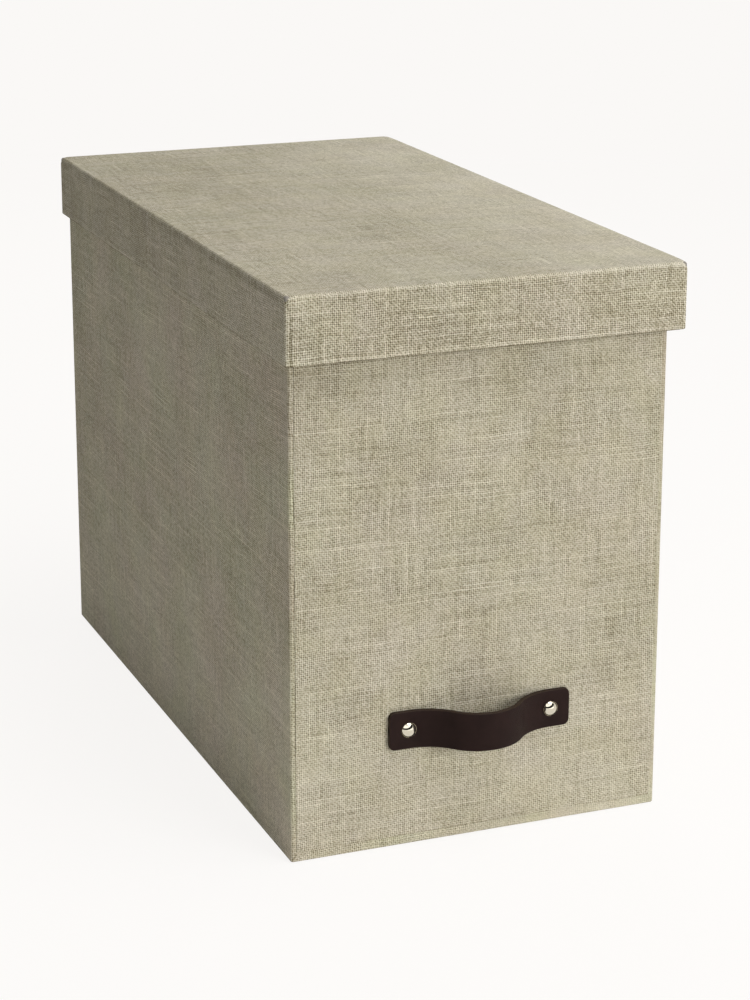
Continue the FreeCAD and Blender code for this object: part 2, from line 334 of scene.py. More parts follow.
def leather():
    """Dark brown finished leather: fine grain on the face, open fibre on the cut edge."""
    g = Graph("strap_leather")
    place = object_place(g)
    cells = g.node("TexVoronoi", {"Vector": place, "Scale": 2.3, "Randomness": 1.0},
                   feature="DISTANCE_TO_EDGE").outputs[0]
    pebble = g.smooth(cells, 0.0, 0.16)
    pores = g.noise(place, 3.2, 3.0, 0.7)
    cloud = g.noise(place, 0.11, 3.0, 0.6)
    tone = g.math("MULTIPLY_ADD", cloud, 0.7, g.math("MULTIPLY", pores, 0.3))
    face = g.ramp(tone, [(0.3, srgb(33, 21, 18)), (0.7, srgb(43, 29, 26))])
    fibre = g.noise(g.vector("MULTIPLY", place, (0.6, 3.0, 0.6)), 2.0, 4.0, 0.7)
    raw = g.ramp(fibre, [(0.3, srgb(40, 30, 24)), (0.7, srgb(62, 50, 41))])
    edge = g.node("Attribute", attribute_name="cut_edge").outputs["Fac"]
    colour = g.mix(edge, face, raw)
    rough = g.smooth(tone, 0.3, 0.7, 0.50, 0.60)
    relief = g.math("MULTIPLY_ADD", pebble, 0.6, g.math("MULTIPLY", pores, 0.4))
    return g.surface(Base_Color=colour, Roughness=rough, Specular_IOR_Level=0.07,
                     Normal=g.bump(relief, 0.05 * MM, 0.6))


# ---------------------------------------------------------------- mesh building

SMOOTH_ANGLE = math.radians(40)  # faces that meet at less are shaded as one surface
CELLS_X, CELLS_Y = 26, 48        # spaces between vertices along a short side and a long one
CORNER_STEPS = 5


def finish_mesh(name, bm, material):
    """Turns a bmesh into an object with one material."""
    bmesh.ops.remove_doubles(bm, verts=bm.verts, dist=1e-7)
    bmesh.ops.recalc_face_normals(bm, faces=bm.faces)
    mesh = bpy.data.meshes.new(name)
    bm.to_mesh(mesh)
    bm.free()
    mesh.polygons.foreach_set("use_smooth", [True] * len(mesh.polygons))
    mesh.set_sharp_from_angle(angle=SMOOTH_ANGLE)
    mesh.materials.append(material)
    piece = bpy.data.objects.new(name, mesh)
    bpy.context.scene.collection.objects.link(piece)
    return piece


def side_places(half, cells, fine=0.0):
    """Places along one side of an outline, closer together for a length at its ends."""
    steps = round(fine / FINE_STEP)
    ends = [half - FINE_STEP * (i + 1) for i in range(steps)]
    reach = half - FINE_STEP * (steps + 1) if steps else half - 1.2 * MM
    inner = [-reach + 2 * reach * i / cells for i in range(cells + 1)]
    return sorted([-place for place in ends] + inner + ends)


class Outline:
    """A rounded rectangle seen from above, whose inset copies all have the same points."""

    def __init__(self, half_x, half_y, radius, fine):
        self.half = (half_x, half_y)
        self.radius = radius
        self.along_x = side_places(half_x - radius, CELLS_X, fine)
        self.along_y = side_places(half_y - radius, CELLS_Y)

    def points(self, inset):
        """(place, outward normal) of each point of the copy that lies inset further in."""
        half_x, half_y = self.half
        radius = self.radius
        reach = max(radius, inset)
        made = []
        sides = (((1, 0), (0, -1), self.along_x), ((0, 1), (1, 0), self.along_y),
                 ((-1, 0), (0, 1), self.along_x), ((0, -1), (-1, 0), self.along_y))
        for forward, normal, places in sides:
            half_along = half_x if forward[0] else half_y
            half_across = half_y if forward[0] else half_x
            squeeze = (half_along - reach) / (half_along - radius)
            forward, normal = Vector(forward), Vector(normal)
            for place in places:
                at = forward * place * squeeze + normal * (half_across - inset)
                made.append((at, normal))
            corner = forward * (half_along - radius) + normal * (half_across - radius)
            sharp = forward * (half_along - inset) + normal * (half_across - inset)
            for step in range(CORNER_STEPS + 1):
                turn = math.pi / 2 * step / CORNER_STEPS
                outward = normal * math.cos(turn) + forward * math.sin(turn)
                at = corner + outward * (radius - inset) if inset < radius else sharp
                made.append((at, outward))
        return made


def loft(bm, rings, closed):
    """Faces between neighbouring rings of vertices, each ring closed on itself."""
    pairs = list(zip(rings, rings[1:]))
    if closed:
        pairs.append((rings[-1], rings[0]))
    for lower, upper in pairs:
        count = len(lower)
        for i in range(count):
            j = (i + 1) % count
            corners = []
            for vertex in (lower[i], lower[j], upper[j], upper[i]):
                if vertex not in corners:
                    corners.append(vertex)
            if len(corners) > 2:
                bm.faces.new(corners)


def fill_grid(bm, grid):
    """Faces between neighbouring rows of vertices."""
    for below, above in zip(grid, grid[1:]):
        for i in range(len(below) - 1):
            bm.faces.new((below[i], below[i + 1], above[i + 1], above[i]))


def border(grid):
    """The outer ring of a grid of vertices, in order."""
    ring = list(grid[0])
    ring += [row[-1] for row in grid[1:]]
    ring += list(reversed(grid[-1][:-1]))
    ring += [row[0] for row in reversed(grid[1:-1])]
    return ring


def set_map(bm, mapping):
    """Writes the cloth's flat layout, in metres, from each face's places and normal."""
    layer = bm.loops.layers.uv.new("cloth")
    for face in bm.faces:
        face.normal_update()
        for loop in face.loops:
            loop[layer].uv = mapping(loop.vert.co, face.normal)


def look_layers(bm):
    """The two numbers of each vertex that the linen material reads."""
    return bm.verts.layers.float.new("shade"), bm.verts.layers.float.new("pressed")


def arc_points(centre, radius, start, end, steps):
    """Points of an arc, as (inset, level), from angles in degrees."""
    made = []
    for i in range(steps + 1):
        angle = math.radians(start + (end - start) * i / steps)
        made.append((centre[0] + radius * math.cos(angle), centre[1] + radius * math.sin(angle)))
    return made


def ease(value, low, high):
    """0 below low, 1 above high, and smooth between them."""
    share = min(max((value - low) / (high - low), 0.0), 1.0)
    return share * share * (3 - 2 * share)


def line(distance, width):
    """1 on a line and 0 beyond its width, from a distance to it."""
    return 1 - ease(abs(distance), 0.15 * width, width)


# ---------------------------------------------------------------- the box's cloth

# Tones are added to the cloth's own, and a minus sign darkens. The reaches are shares of the
# box's height. An end is the front or the rear, and its margin is the narrow border that its
# panel leaves free, mitred at the lower corners.
# Painted light: the ends, sides and margins are lighter towards their foot, and the sides darker
# towards the rear.
END_FOOT_LIGHT_TONE, END_FOOT_REACH = 0.09, 0.6
SIDE_TONE, SIDE_REAR_SHADE_TONE = 0.015, -0.08
SIDE_FOOT_LIGHT_TONE, SIDE_FOOT_REACH = 0.15, 0.45
CUT_EDGE_TONE = -0.18
MARGIN_LEFT_TONE, MARGIN_RIGHT_TONE = -0.02, 0.03
MARGIN_LOW_RIGHT_LIGHT_TONE, MARGIN_FOOT_LIGHT_TONE = 0.03, 0.05
MITRE_LEFT_TONE, MITRE_RIGHT_TONE = -0.35, -0.10
MITRE_SLOPE, MITRE_WIDTH = 0.6, 0.9 * MM         # slope: way in from the side per way up
MARGIN_PRESSED = (0.2, 0.4)      # at its left, and how much more at its right
FOLD_PRESSED = 0.4               # on the sides, close to the upright corners

BODY_RADIUS = 1.3 * MM
BASE_SOFTNESS = 1.0 * MM         # rounding of the fold under the base
BODY_TURN_IN = 15 * MM           # from the rim down to the cloth's edge inside
BASE_FOLD = 14 * MM              # from the wall to the cloth's edge under the base
WALL_ROWS = 24
WALL_SWELL = 0.7 * MM
PANEL_CELLS = (60, 84)           # spaces between vertices across and up a glued panel
PANEL_WOBBLE, WOBBLE_LENGTH = 0.28 * MM, 22 * MM
PANEL_SOFTNESS = 0.12 * MM


def unfolded(low, high):
    """A mapping that unrolls the walls of a box, each thread at its real length."""
    def mapping(at, normal):
        if abs(normal.z) > 0.75:
            return (at.x, at.y)
        if abs(normal.y) >= abs(normal.x):
            return (at.x, at.z) if normal.y < 0 else (high.y - low.y + 2 * high.x - at.x, at.z)
        return (high.x + at.y - low.y, at.z) if normal.x > 0 else (low.x - at.y + low.y, at.z)
    return mapping


def swell(at, low, high):
    """How far a long wall stands out at a place: not at all at its edges."""
    across = math.cos(math.pi * at.y / (high.y - low.y))
    up = math.sin(math.pi * (at.z - low.z) / (high.z - low.z))
    return max(across, 0) * max(up, 0) * WALL_SWELL


def end_shade(at, low, high):
    """How much lighter the cloth of the front and rear is towards its foot: painted light,
    standing in for light thrown up by the floor.
    """
    return END_FOOT_LIGHT_TONE * (1 - ease(at.z - low.z, 0, END_FOOT_REACH * (high.z - low.z)))


def side_shade(at, low, high):
    """Painted light and shade on a side's cloth: lighter towards its foot and darker towards the
    rear.
    """
    foot = 1 - ease(at.z - low.z, 0, SIDE_FOOT_REACH * (high.z - low.z))
    return SIDE_TONE + SIDE_FOOT_LIGHT_TONE * foot + SIDE_REAR_SHADE_TONE * ease(at.y, 0, high.y)


def rightward(at):
    """0 at the left of an end and 1 at its right, for what changes along its margin."""
    return ease(at.x, -60 * MM, 50 * MM)


def margin_shade(at, from_side, from_base):
    """The tone of the margin beside and under an end's panel. Its lighter foot, most of all low at
    the right, is painted light.
    """
    mitre = line(from_side - MITRE_SLOPE * from_base, MITRE_WIDTH)
    mitre *= 1 - ease(from_base, 3 * MM, 5 * MM)
    left = MARGIN_LEFT_TONE + MITRE_LEFT_TONE * mitre
    # painted light: lighter low down at the right, and along the rounded foot
    low_right = MARGIN_LOW_RIGHT_LIGHT_TONE * (1 - ease(from_base, 20 * MM, 90 * MM))
    right = MARGIN_RIGHT_TONE + low_right + MITRE_RIGHT_TONE * mitre
    foot = MARGIN_FOOT_LIGHT_TONE * (1 - ease(from_base, 2 * MM, 6 * MM))
    return foot + left + (right - left) * rightward(at)


def front_shade_patches(at, lid_base):
    """How much darker the front's cloth is in two soft patches of painted shade: above the strap's
    arch, and at the left close under the lid."""
    patches = ((4 * MM, STRAP_LEVEL + 15 * MM, 32 * MM, 13 * MM, 0.09),
               (-75 * MM, lid_base - 2 * MM, 28 * MM, 13 * MM, 0.16))
    return sum(depth * math.exp(-((at.x - x) / wide) ** 2 - ((at.z - z) / tall) ** 2)
               for x, z, wide, tall, depth in patches)


def body_profile(base, rim):
    """(inset, level) round the section of a wall's cloth, from its edge under the base."""
    soft, base_soft = EDGE_SOFTNESS, BASE_SOFTNESS
    inside = WALL + CLOTH
    rows = [base + (rim - base) * i / WALL_ROWS for i in range(1, WALL_ROWS)]
    outer = [(BASE_FOLD, base), (BASE_FOLD / 2, base)]
    outer += arc_points((base_soft, base + base_soft), base_soft, -90, -180, 4)
    outer += [(0, base + FINE_STEP * i) for i in range(3, 13)]
    outer += [(0, level) for level in rows] + [(0, rim - 3 * MM)]
    outer += arc_points((soft, rim - soft), soft, 180, 90, 4)
    outer += arc_points((inside - soft, rim - soft), soft, 90, 0, 4)
    outer += [(inside, rim - BODY_TURN_IN), (WALL, rim - BODY_TURN_IN)]
    inner = arc_points((inside - soft, rim - soft), soft - CLOTH, 0, 90, 4)
    inner += arc_points((soft, rim - soft), soft - CLOTH, 90, 180, 4)
    inner += [(CLOTH, rim - 3 * MM)] + [(CLOTH, level) for level in reversed(rows)]
    inner += [(CLOTH, base + 3 * MM)]
    inner += arc_points((base_soft, base + base_soft), base_soft - CLOTH, -180, -90, 4)
    inner += [(BASE_FOLD / 2, base + CLOTH), (BASE_FOLD, base + CLOTH)]
    return outer + inner


def body_cloth(material):
    """Cloth round the walls, over the rim and down inside, and folded under the base."""
    low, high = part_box("body_cloth")
    outline = Outline(high.x, high.y, BODY_RADIUS, 5 * MM)
    bm = bmesh.new()
    shade, pressed = look_layers(bm)
    rings = []
    for inset, level in body_profile(low.z, high.z):
        ring = []
        for place, normal in outline.points(inset):
            at = Vector((place.x, place.y, level))
            if abs(normal.x) > 0.99 and inset < 1 * MM:
                at.x += normal.x * swell(at, low, high)
            vertex = bm.verts.new(at)
            from_side, from_base = high.x - abs(at.x), at.z - low.z
            if inset < 1 * MM and abs(normal.y) > 0.7:
                vertex[pressed] = MARGIN_PRESSED[0] + MARGIN_PRESSED[1] * rightward(at)
                # painted light at the foot, with the margin's tone and its own painted foot light
                vertex[shade] = end_shade(at, low, high) + margin_shade(at, from_side, from_base)
            elif inset < 1 * MM:
                from_fold = high.y - abs(at.y)
                vertex[pressed] = FOLD_PRESSED * (1 - ease(from_fold, 1 * MM, 4 * MM))
                # painted light and shade on the sides
                vertex[shade] = side_shade(at, low, high)
            ring.append(vertex)
        rings.append(ring)
    loft(bm, rings, True)
    set_map(bm, unfolded(low, high))
    piece = finish_mesh("body_cloth_shell", bm, material)
    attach(piece, "box")
    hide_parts("body_cloth")


def sheet_places(low, high, cells):
    """Places across a sheet, with three close rows at each edge."""
    inner = [low + 1.6 * MM + (high - low - 3.2 * MM) * i / cells for i in range(cells + 1)]
    return [low, low + 0.3 * MM, low + 0.8 * MM] + inner + [high - 0.8 * MM, high - 0.3 * MM, high]


def glued_sheet(name, node, axis, facing, material):
    """A cloth panel glued flat over one face, its cut edges slightly uneven.

    The axis is the one that the face looks along, 1 or 2 for Y or Z, and facing is its sign.
    """
    low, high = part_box(node)
    up = 1 if axis == 2 else 2
    us = sheet_places(low.x, high.x, PANEL_CELLS[0])
    vs = sheet_places(low[up], high[up], PANEL_CELLS[1])
    outer, inner = (low[axis], high[axis]) if facing < 0 else (high[axis], low[axis])
    phase = 40.0 * (facing + 1) + 17.0 * axis    # gives each panel edges of its own
    lid_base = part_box("lid_cloth")[0].z

    def wobble(along, side):
        return noise.noise(Vector((along / WOBBLE_LENGTH, side, phase))) * PANEL_WOBBLE

    soft = PANEL_SOFTNESS
    bm = bmesh.new()
    shade, _ = look_layers(bm)
    layers = []
    for inset, depth in ((0.0, inner), (0.0, outer - facing * soft), (soft, outer)):
        layer = []
        for row, v in enumerate(vs):
            made = []
            for column, u in enumerate(us):
                side_u = {0: 1, len(us) - 1: -1}.get(column, 0)
                side_v = {0: 1, len(vs) - 1: -1}.get(row, 0)
                at = Vector((0, 0, 0))
                at[axis] = depth
                at.x = u + (side_u * inset + wobble(v, side_u) if side_u else 0)
                at[up] = v + (side_v * inset + wobble(u, 3 * side_v) if side_v else 0)
                vertex = bm.verts.new(at)
                if side_u or side_v:
                    vertex[shade] = CUT_EDGE_TONE
                elif axis == 1:
                    vertex[shade] = end_shade(at, low, high)
                    if facing < 0:
                        # painted shade above the strap's arch and close under the lid
                        vertex[shade] -= front_shade_patches(at, lid_base)
                made.append(vertex)
            layer.append(made)
        layers.append(layer)
    fill_grid(bm, layers[0])
    fill_grid(bm, layers[-1])
    for first, second in zip(layers, layers[1:]):
        loft(bm, [border(first), border(second)], False)
    set_map(bm, lambda at, normal: (at.x, at[up]))
    piece = finish_mesh(name, bm, material)
    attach(piece, "box")
    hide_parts(node)


# ---------------------------------------------------------------- the lid's cloth

LID_RADIUS = 1.4 * MM
LID_TURN_IN = 12 * MM            # from the skirt's edge up to the cloth's edge inside
SKIRT = 31 * MM
LAP = (0.4 * MM, 2.8 * MM)       # from a corner to the front cloth's edge, at the top and below
LAP_STEP = 0.25 * MM             # how far the front's cloth stands out at that edge
TOP_BULGE = 0.5 * MM
LID_PRESSED = 0.1                # how much flatter the weave is on the lid's top
PINCH, PINCH_REACH = 0.8 * MM, (0.5 * MM, 4.0 * MM)
PINCH_SHARES = (0.6, 0.6, 0.55)  # of it along each axis

# The rear, lower-edge, underside, ridge and crease tones of the lid's cloth are painted light and
# shade.
SKIRT_END_TONE, SKIRT_REAR_SHADE_TONE = -0.05, -0.11
BASE_HIGHLIGHT_TONE, UNDER_SHADE_TONE, RIDGE_HIGHLIGHT_TONE = 0.16, -0.34, 0.12
SEAM_LEFT_TONE, SEAM_RIGHT_TONE, STRIP_TONE = -0.28, -0.14, 0.07
CREASE_SHADE_TONE = -0.18
TOP_RIGHT_LIGHT_TONE, TOP_LEFT_SHADE_TONE = 0.13, -0.08


def lap_edge(depth):
    """How far in from the corner the front's cloth is cut, a depth below the lid's top."""
    return LAP[0] + (LAP[1] - LAP[0]) * ease(depth, 0.5 * MM, 9 * MM)


def lid_shade(at, normal, low, high, middle):
    """Painted light and shade on the lid's cloth, with its lap seam, from a place on its outer
    face: painted highlights along the top's front edge and the skirt's lower edge, and painted
    shade on that edge's underside, in a crease under the sides' top edge and towards the rear.
    """
    half_x, half_y = (high.x - low.x) / 2, (high.y - low.y) / 2
    depth, above_base = high.z - at.z, at.z - low.z
    # painted highlight along the skirt's lower edge, and painted shade on its underside
    base_highlight = BASE_HIGHLIGHT_TONE * line(above_base - 1.5 * MM, 1.2 * MM)
    under = UNDER_SHADE_TONE * (1 - ease(above_base, 0.25 * MM, 0.8 * MM))
    if abs(normal.y) > 0.7:
        from_side = half_x - abs(at.x - middle.x)
        beside = from_side - lap_edge(depth)
        seam = SEAM_LEFT_TONE if at.x < middle.x else SEAM_RIGHT_TONE
        seam *= line(beside + 0.3 * MM, 0.8 * MM)
        strip = STRIP_TONE if beside < 0 else 0.0
        # painted highlight along the top's edge
        ridge_highlight = RIDGE_HIGHLIGHT_TONE * line(depth - 1.0 * MM, 1.3 * MM)
        return seam + strip + ridge_highlight + base_highlight + under + SKIRT_END_TONE
    if abs(normal.x) > 0.7:
        to_front = ease(middle.y + half_y - at.y, 0.5 * half_y, 2 * half_y)
        crease = line(depth - 2.8 * MM, 2.9 * MM) * (0.25 + 0.75 * to_front)
        return (CREASE_SHADE_TONE * crease + 0.5 * base_highlight + under
                + SKIRT_REAR_SHADE_TONE * (1 - to_front))
    return 0.0


def top_shade(across, along):
    """Painted light on the lid's top: darker at its left, except in front, and lighter at its
    right.

    Both places are from the middle, as shares of the half width and half depth.
    """
    left = (1 - ease(across, -1, 0.2)) * ease(along, -0.8, 0.4)
    return TOP_RIGHT_LIGHT_TONE * ease(across, 0, 1) + TOP_LEFT_SHADE_TONE * left


def pinched(at, middle, half_x, half_y, top):
    """How far a place near one of the lid's top corners is pushed in, as by handling."""
    away = Vector((half_x - abs(at.x - middle.x), half_y - abs(at.y - middle.y), top - at.z))
    amount = PINCH * (1 - ease(away.length, *PINCH_REACH))
    return Vector((math.copysign(amount, at.x - middle.x) * PINCH_SHARES[0],
                   math.copysign(amount, at.y - middle.y) * PINCH_SHARES[1],
                   amount * PINCH_SHARES[2]))


def fill_top(bm, outline, middle, level, pressed):
    """The flat inside the first ring of a lid, on the same grid as its edges."""
    reach_x, reach_y = (half - outline.radius for half in outline.half)
    xs = [-reach_x] + outline.along_x + [reach_x]
    ys = [-reach_y] + outline.along_y + [reach_y]
    grid = [[bm.verts.new((x + middle.x, y + middle.y, level)) for x in xs] for y in ys]
    fill_grid(bm, grid)
    for row in grid:
        for vertex in row:
            vertex[pressed] = LID_PRESSED


def lid_profile(base, top):
    """(inset, level) round the section of a skirt's cloth, from the top's edge down, round
    the skirt's lower edge and back up: its outer face, its turn-in and its inner face."""
    radius, soft, inside = LID_RADIUS, EDGE_SOFTNESS, WALL + CLOTH
    outer = arc_points((radius, top - radius), radius, 90, 180, 6)
    outer += [(0, top - FINE_STEP * i) for i in range(4, 20)]
    outer += [(0, top - SKIRT * i / 8) for i in range(3, 7)]
    outer += [(0, base + FINE_STEP * i) for i in range(8, 1, -1)]
    outer += arc_points((soft, base + soft), soft, 180, 270, 6)
    turned = arc_points((inside - soft, base + soft), soft, 270, 360, 4)
    turned += [(inside, base + LID_TURN_IN), (WALL, base + LID_TURN_IN)]
    inner = arc_points((inside - soft, base + soft), soft - CLOTH, 360, 270, 4)
    inner += arc_points((soft, base + soft), soft - CLOTH, 270, 180, 4)
    inner += [(CLOTH, base + 2 * MM), (CLOTH, top - 4 * MM)]
    inner += arc_points((radius, top - radius), radius - CLOTH, 180, 90, 6)
    return outer, turned, inner


def lid_cloth(material):
    """Cloth over the lid, folded round the skirt's lower edge and up inside."""
    low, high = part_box("lid_cloth")
    middle = (low + high) / 2
    half_x, half_y = (high.x - low.x) / 2, (high.y - low.y) / 2
    radius = LID_RADIUS
    outline = Outline(half_x, half_y, radius, 6 * MM)
    outer, turned, inner = lid_profile(low.z, high.z)
    bm = bmesh.new()
    shade, pressed = look_layers(bm)
    rings = []
    for number, (inset, level) in enumerate(outer + turned + inner):
        outside = number < len(outer) and inset < radius
        ring = []
        for place, normal in outline.points(inset):
            at = Vector((place.x + middle.x, place.y + middle.y, level))
            if outside and abs(normal.y) > 0.99:
                beside = half_x - abs(place.x) - lap_edge(high.z - level)
                raised = ease(beside, 0.0, 0.5 * MM) * ease(high.z - level, 0.0, radius)
                at.y += normal.y * LAP_STEP * raised
            vertex = bm.verts.new(at)
            if outside:
                # painted highlights and shade on the skirt
                vertex[shade] = lid_shade(at, normal, low, high, middle)
            vertex[pressed] = LID_PRESSED if inset >= radius * 0.9 else 0.0
            ring.append(vertex)
        rings.append(ring)
    loft(bm, rings, False)
    for level in (high.z, high.z - CLOTH):
        fill_top(bm, outline, middle, level, pressed)
    for vertex in bm.verts:
        across = (vertex.co.x - middle.x) / half_x
        along = (vertex.co.y - middle.y) / half_y
        # painted light and shade across the top
        vertex[shade] += top_shade(across, along) * ease(vertex.co.z, high.z - radius, high.z)
        if vertex.co.z > high.z - CLOTH - 1e-6:
            bulge = math.cos(math.pi / 2 * across) * math.cos(math.pi / 2 * along)
            vertex.co.z += TOP_BULGE * max(bulge, 0)
        vertex.co -= pinched(vertex.co, middle, half_x, half_y, high.z)

    def mapping(at, normal):
        """The lid's sides folded out flat round its top."""
        if normal.z > 0.6:
            return (at.x, at.y)
        depth = high.z - at.z
        if abs(normal.y) >= abs(normal.x):
            return (at.x, at.y + math.copysign(depth, at.y))
        return (at.x + math.copysign(depth, at.x), at.y)

    set_map(bm, mapping)
    piece = finish_mesh("lid_cloth_shell", bm, material)
    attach(piece, "lid")
    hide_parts("lid_cloth")


# ---------------------------------------------------------------- the strap and its rivets

STRAP_LENGTH = 88.4 * MM
STRAP_WIDTH = 18.0 * MM
STRAP_THICKNESS = 2.2 * MM
STRAP_CORNER = 2.6 * MM
STRAP_SOFTNESS = 0.5 * MM        # rounding of its cut edges
ARCH_SPAN = 69.8 * MM
ARCH_DEPTH = 15.6 * MM
ARCH_BEND = 26.6 * MM            # radius where the strap leaves the box
END_STEPS, BEND_STEPS, CROWN_STEPS = 20, 30, 24
FACE_BUMPS, BUMP_LENGTH = 0.1 * MM, 13 * MM

RIVET_X = STRAP_LENGTH / 2 - 9.3 * MM
CAP_RADIUS = 3.5 * MM
CAP_HEIGHT = 2.1 * MM
CAP_RIM = 0.1 * MM               # rounding of a cap's lowest edge
RIM_ANGLE = 0.03                 # radians of the dome that this rounding takes up
CAP_LIFT = 0.05 * MM             # from the strap to that edge
CAP_POST = 1.6 * MM              # radius of the part under a cap that lies over its post
CAP_SEGMENTS, DOME_STEPS, RIM_STEPS = 64, 18, 4
CAP_SINK = 0.25 * MM             # how far a cap pushes the leather in
DENT = (4.0 * MM, 5.6 * MM)      # from a cap's middle, flat up to the first and then easing out


def strap_path():
    """(place across the box, distance from the wall, slope) along the strap's inner face."""
    half = ARCH_SPAN / 2
    turn = 2 * math.atan(ARCH_DEPTH / half)
    crown = half / math.sin(turn) - ARCH_BEND
    flat = STRAP_LENGTH / 2 - half
    path = []
    for i in range(END_STEPS):
        path.append((STRAP_LENGTH / 2 - flat * (i / END_STEPS) ** 1.5, 0.0, 0.0))
    for i in range(BEND_STEPS):
        angle = turn * i / BEND_STEPS
        path.append((half - ARCH_BEND * math.sin(angle), ARCH_BEND * (1 - math.cos(angle)), angle))
    for i in range(CROWN_STEPS + 1):
        angle = turn * (1 - i / CROWN_STEPS)
        path.append((crown * math.sin(angle), ARCH_DEPTH - crown * (1 - math.cos(angle)), angle))
    left = [(-x, out, -angle) for x, out, angle in path[:-1]]
    return left + path[::-1]


def strap_section(half_width):
    """(across, depth from the inner face, whether on the cut edge) round the strap's section."""
    soft = STRAP_SOFTNESS
    corners = []
    for side_w, side_t, start in ((1, 0, -90), (1, 1, 0), (-1, 1, 90), (-1, 0, 180)):
        centre = (side_w * (half_width - soft), soft + side_t * (STRAP_THICKNESS - 2 * soft))
        corners += arc_points(centre, soft, start, start + 90, 3)
    section = []
    for first, second in zip(corners, corners[1:] + corners[:1]):
        length = math.hypot(second[0] - first[0], second[1] - first[1])
        steps = 12 if length > 6 * MM else 3 if length > 1.2 * MM else 1
        for i in range(steps):
            across = first[0] + (second[0] - first[0]) * i / steps
            depth = first[1] + (second[1] - first[1]) * i / steps
            section.append((across, depth, half_width - abs(across) < 0.75 * soft))
    return section


def pushed_flat(at, wall):
    """The strap's outer face pushed flat under a cap, and easing out round it."""
    seat = wall - STRAP_THICKNESS + CAP_SINK
    near = min(math.hypot(at.x - side * RIVET_X, at.z - STRAP_LEVEL) for side in (-1, 1))
    return max(at.y, seat + (at.y - seat) * ease(near, *DENT))


def strap(material):
    """The leather strap: rounded corners, softened edges and dimples under the caps."""
    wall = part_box("front_sheet")[0].y
    path = strap_path()
    lengths = [0.0]
    for (x0, out0, _), (x1, out1, _) in zip(path, path[1:]):
        lengths.append(lengths[-1] + math.hypot(x1 - x0, out1 - out0))
    bm = bmesh.new()
    cut = bm.verts.layers.float.new("cut_edge")
    rings = []
    for (x, out, angle), length in zip(path, lengths):
        end = min(length, lengths[-1] - length)
        lost = 0.0               # from the half width, where the strap's corners are rounded
        if end < STRAP_CORNER:
            lost = STRAP_CORNER - math.sqrt(STRAP_CORNER ** 2 - (STRAP_CORNER - end) ** 2)
        away = Vector((math.sin(angle), -math.cos(angle), 0))
        ring = []
        for across, depth, edge in strap_section(STRAP_WIDTH / 2 - lost):
            at = Vector((x, wall - out, STRAP_LEVEL + across)) + away * depth
            if depth > STRAP_THICKNESS / 2:
                at.y += noise.noise(Vector((x, across, 0)) / BUMP_LENGTH) * FACE_BUMPS
                at.y = pushed_flat(at, wall)
            vertex = bm.verts.new(at)
            vertex[cut] = 1.0 if edge else 0.0
            ring.append(vertex)
        rings.append(ring)
    loft(bm, rings, False)
    for ring in (rings[0], rings[-1]):
        for vertex in ring:
            vertex[cut] = 1.0
        bm.faces.new(ring)
    piece = finish_mesh("strap_leather_band", bm, material)
    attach(piece, "box")
    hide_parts("handle_strap")


def cap_profile():
    """(distance from a cap's axis, distance from the strap) along its section."""
    rim_centre = CAP_RADIUS - CAP_RIM
    profile = [(CAP_POST, CAP_LIFT), (rim_centre, CAP_LIFT)]
    for i in range(1, RIM_STEPS + 1):
        angle = math.pi / 2 * i / RIM_STEPS
        profile.append((rim_centre + CAP_RIM * math.sin(angle),
                        CAP_LIFT + CAP_RIM - CAP_RIM * math.cos(angle)))
    ball = (CAP_RADIUS ** 2 + CAP_HEIGHT ** 2) / (2 * CAP_HEIGHT)
    widest = math.asin(CAP_RADIUS / ball) - RIM_ANGLE
    for i in range(DOME_STEPS):
        angle = widest * (1 - i / DOME_STEPS)
        profile.append((ball * math.sin(angle), CAP_HEIGHT - ball * (1 - math.cos(angle))))
    return profile


def rivet_caps(material):
    """Both domed caps, each with its edge rolled in under it."""
    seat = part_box("front_sheet")[0].y - STRAP_THICKNESS
    bm = bmesh.new()
    for side in (-1, 1):
        rings = []
        for reach, out in cap_profile():
            ring = []
            for i in range(CAP_SEGMENTS):
                angle = 2 * math.pi * i / CAP_SEGMENTS
                ring.append(bm.verts.new((side * RIVET_X + reach * math.cos(angle), seat - out,
                                          STRAP_LEVEL + reach * math.sin(angle))))
            rings.append(ring)
        loft(bm, rings, False)
        bm.faces.new(rings[-1])
        bm.faces.new(rings[0])
    piece = finish_mesh("rivet_dome_pair", bm, material)
    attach(piece, "box")
    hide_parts("handle_rivet_caps")


# ---------------------------------------------------------------- the stage

CAMERA_YAW = math.radians(-21.8163)
CAMERA_PITCH = math.radians(15.3253)
CAMERA_ROLL = math.radians(0.1141)
CAMERA_DISTANCE = 1.326779
CAMERA_TARGET = Vector((0, 0, 0.135))
CAMERA_OFFSET = (0.0193855, 0.0252403)   # to the right and up, in the camera's own directions
CAMERA_LENS = 94.840
CAMERA_SHIFT = (-0.0042, -0.1)

WHITE = srgb(250, 248, 246)
WORLD_FILL = 0.18
FLOOR_SHARE = 0.11               # how much of the near floor's look is lit paint with shadows
FLOOR_FADE = (0.45, 1.6)         # metres from the object's middle, where that share fades out
NEAR_GLOW = (1.0, 0.985, 0.968, 1)       # the glow that is the rest of its look there
CARD_STEPS = 24
CARD_CENTRE_Y = -0.17            # the cards curve round the box's front face


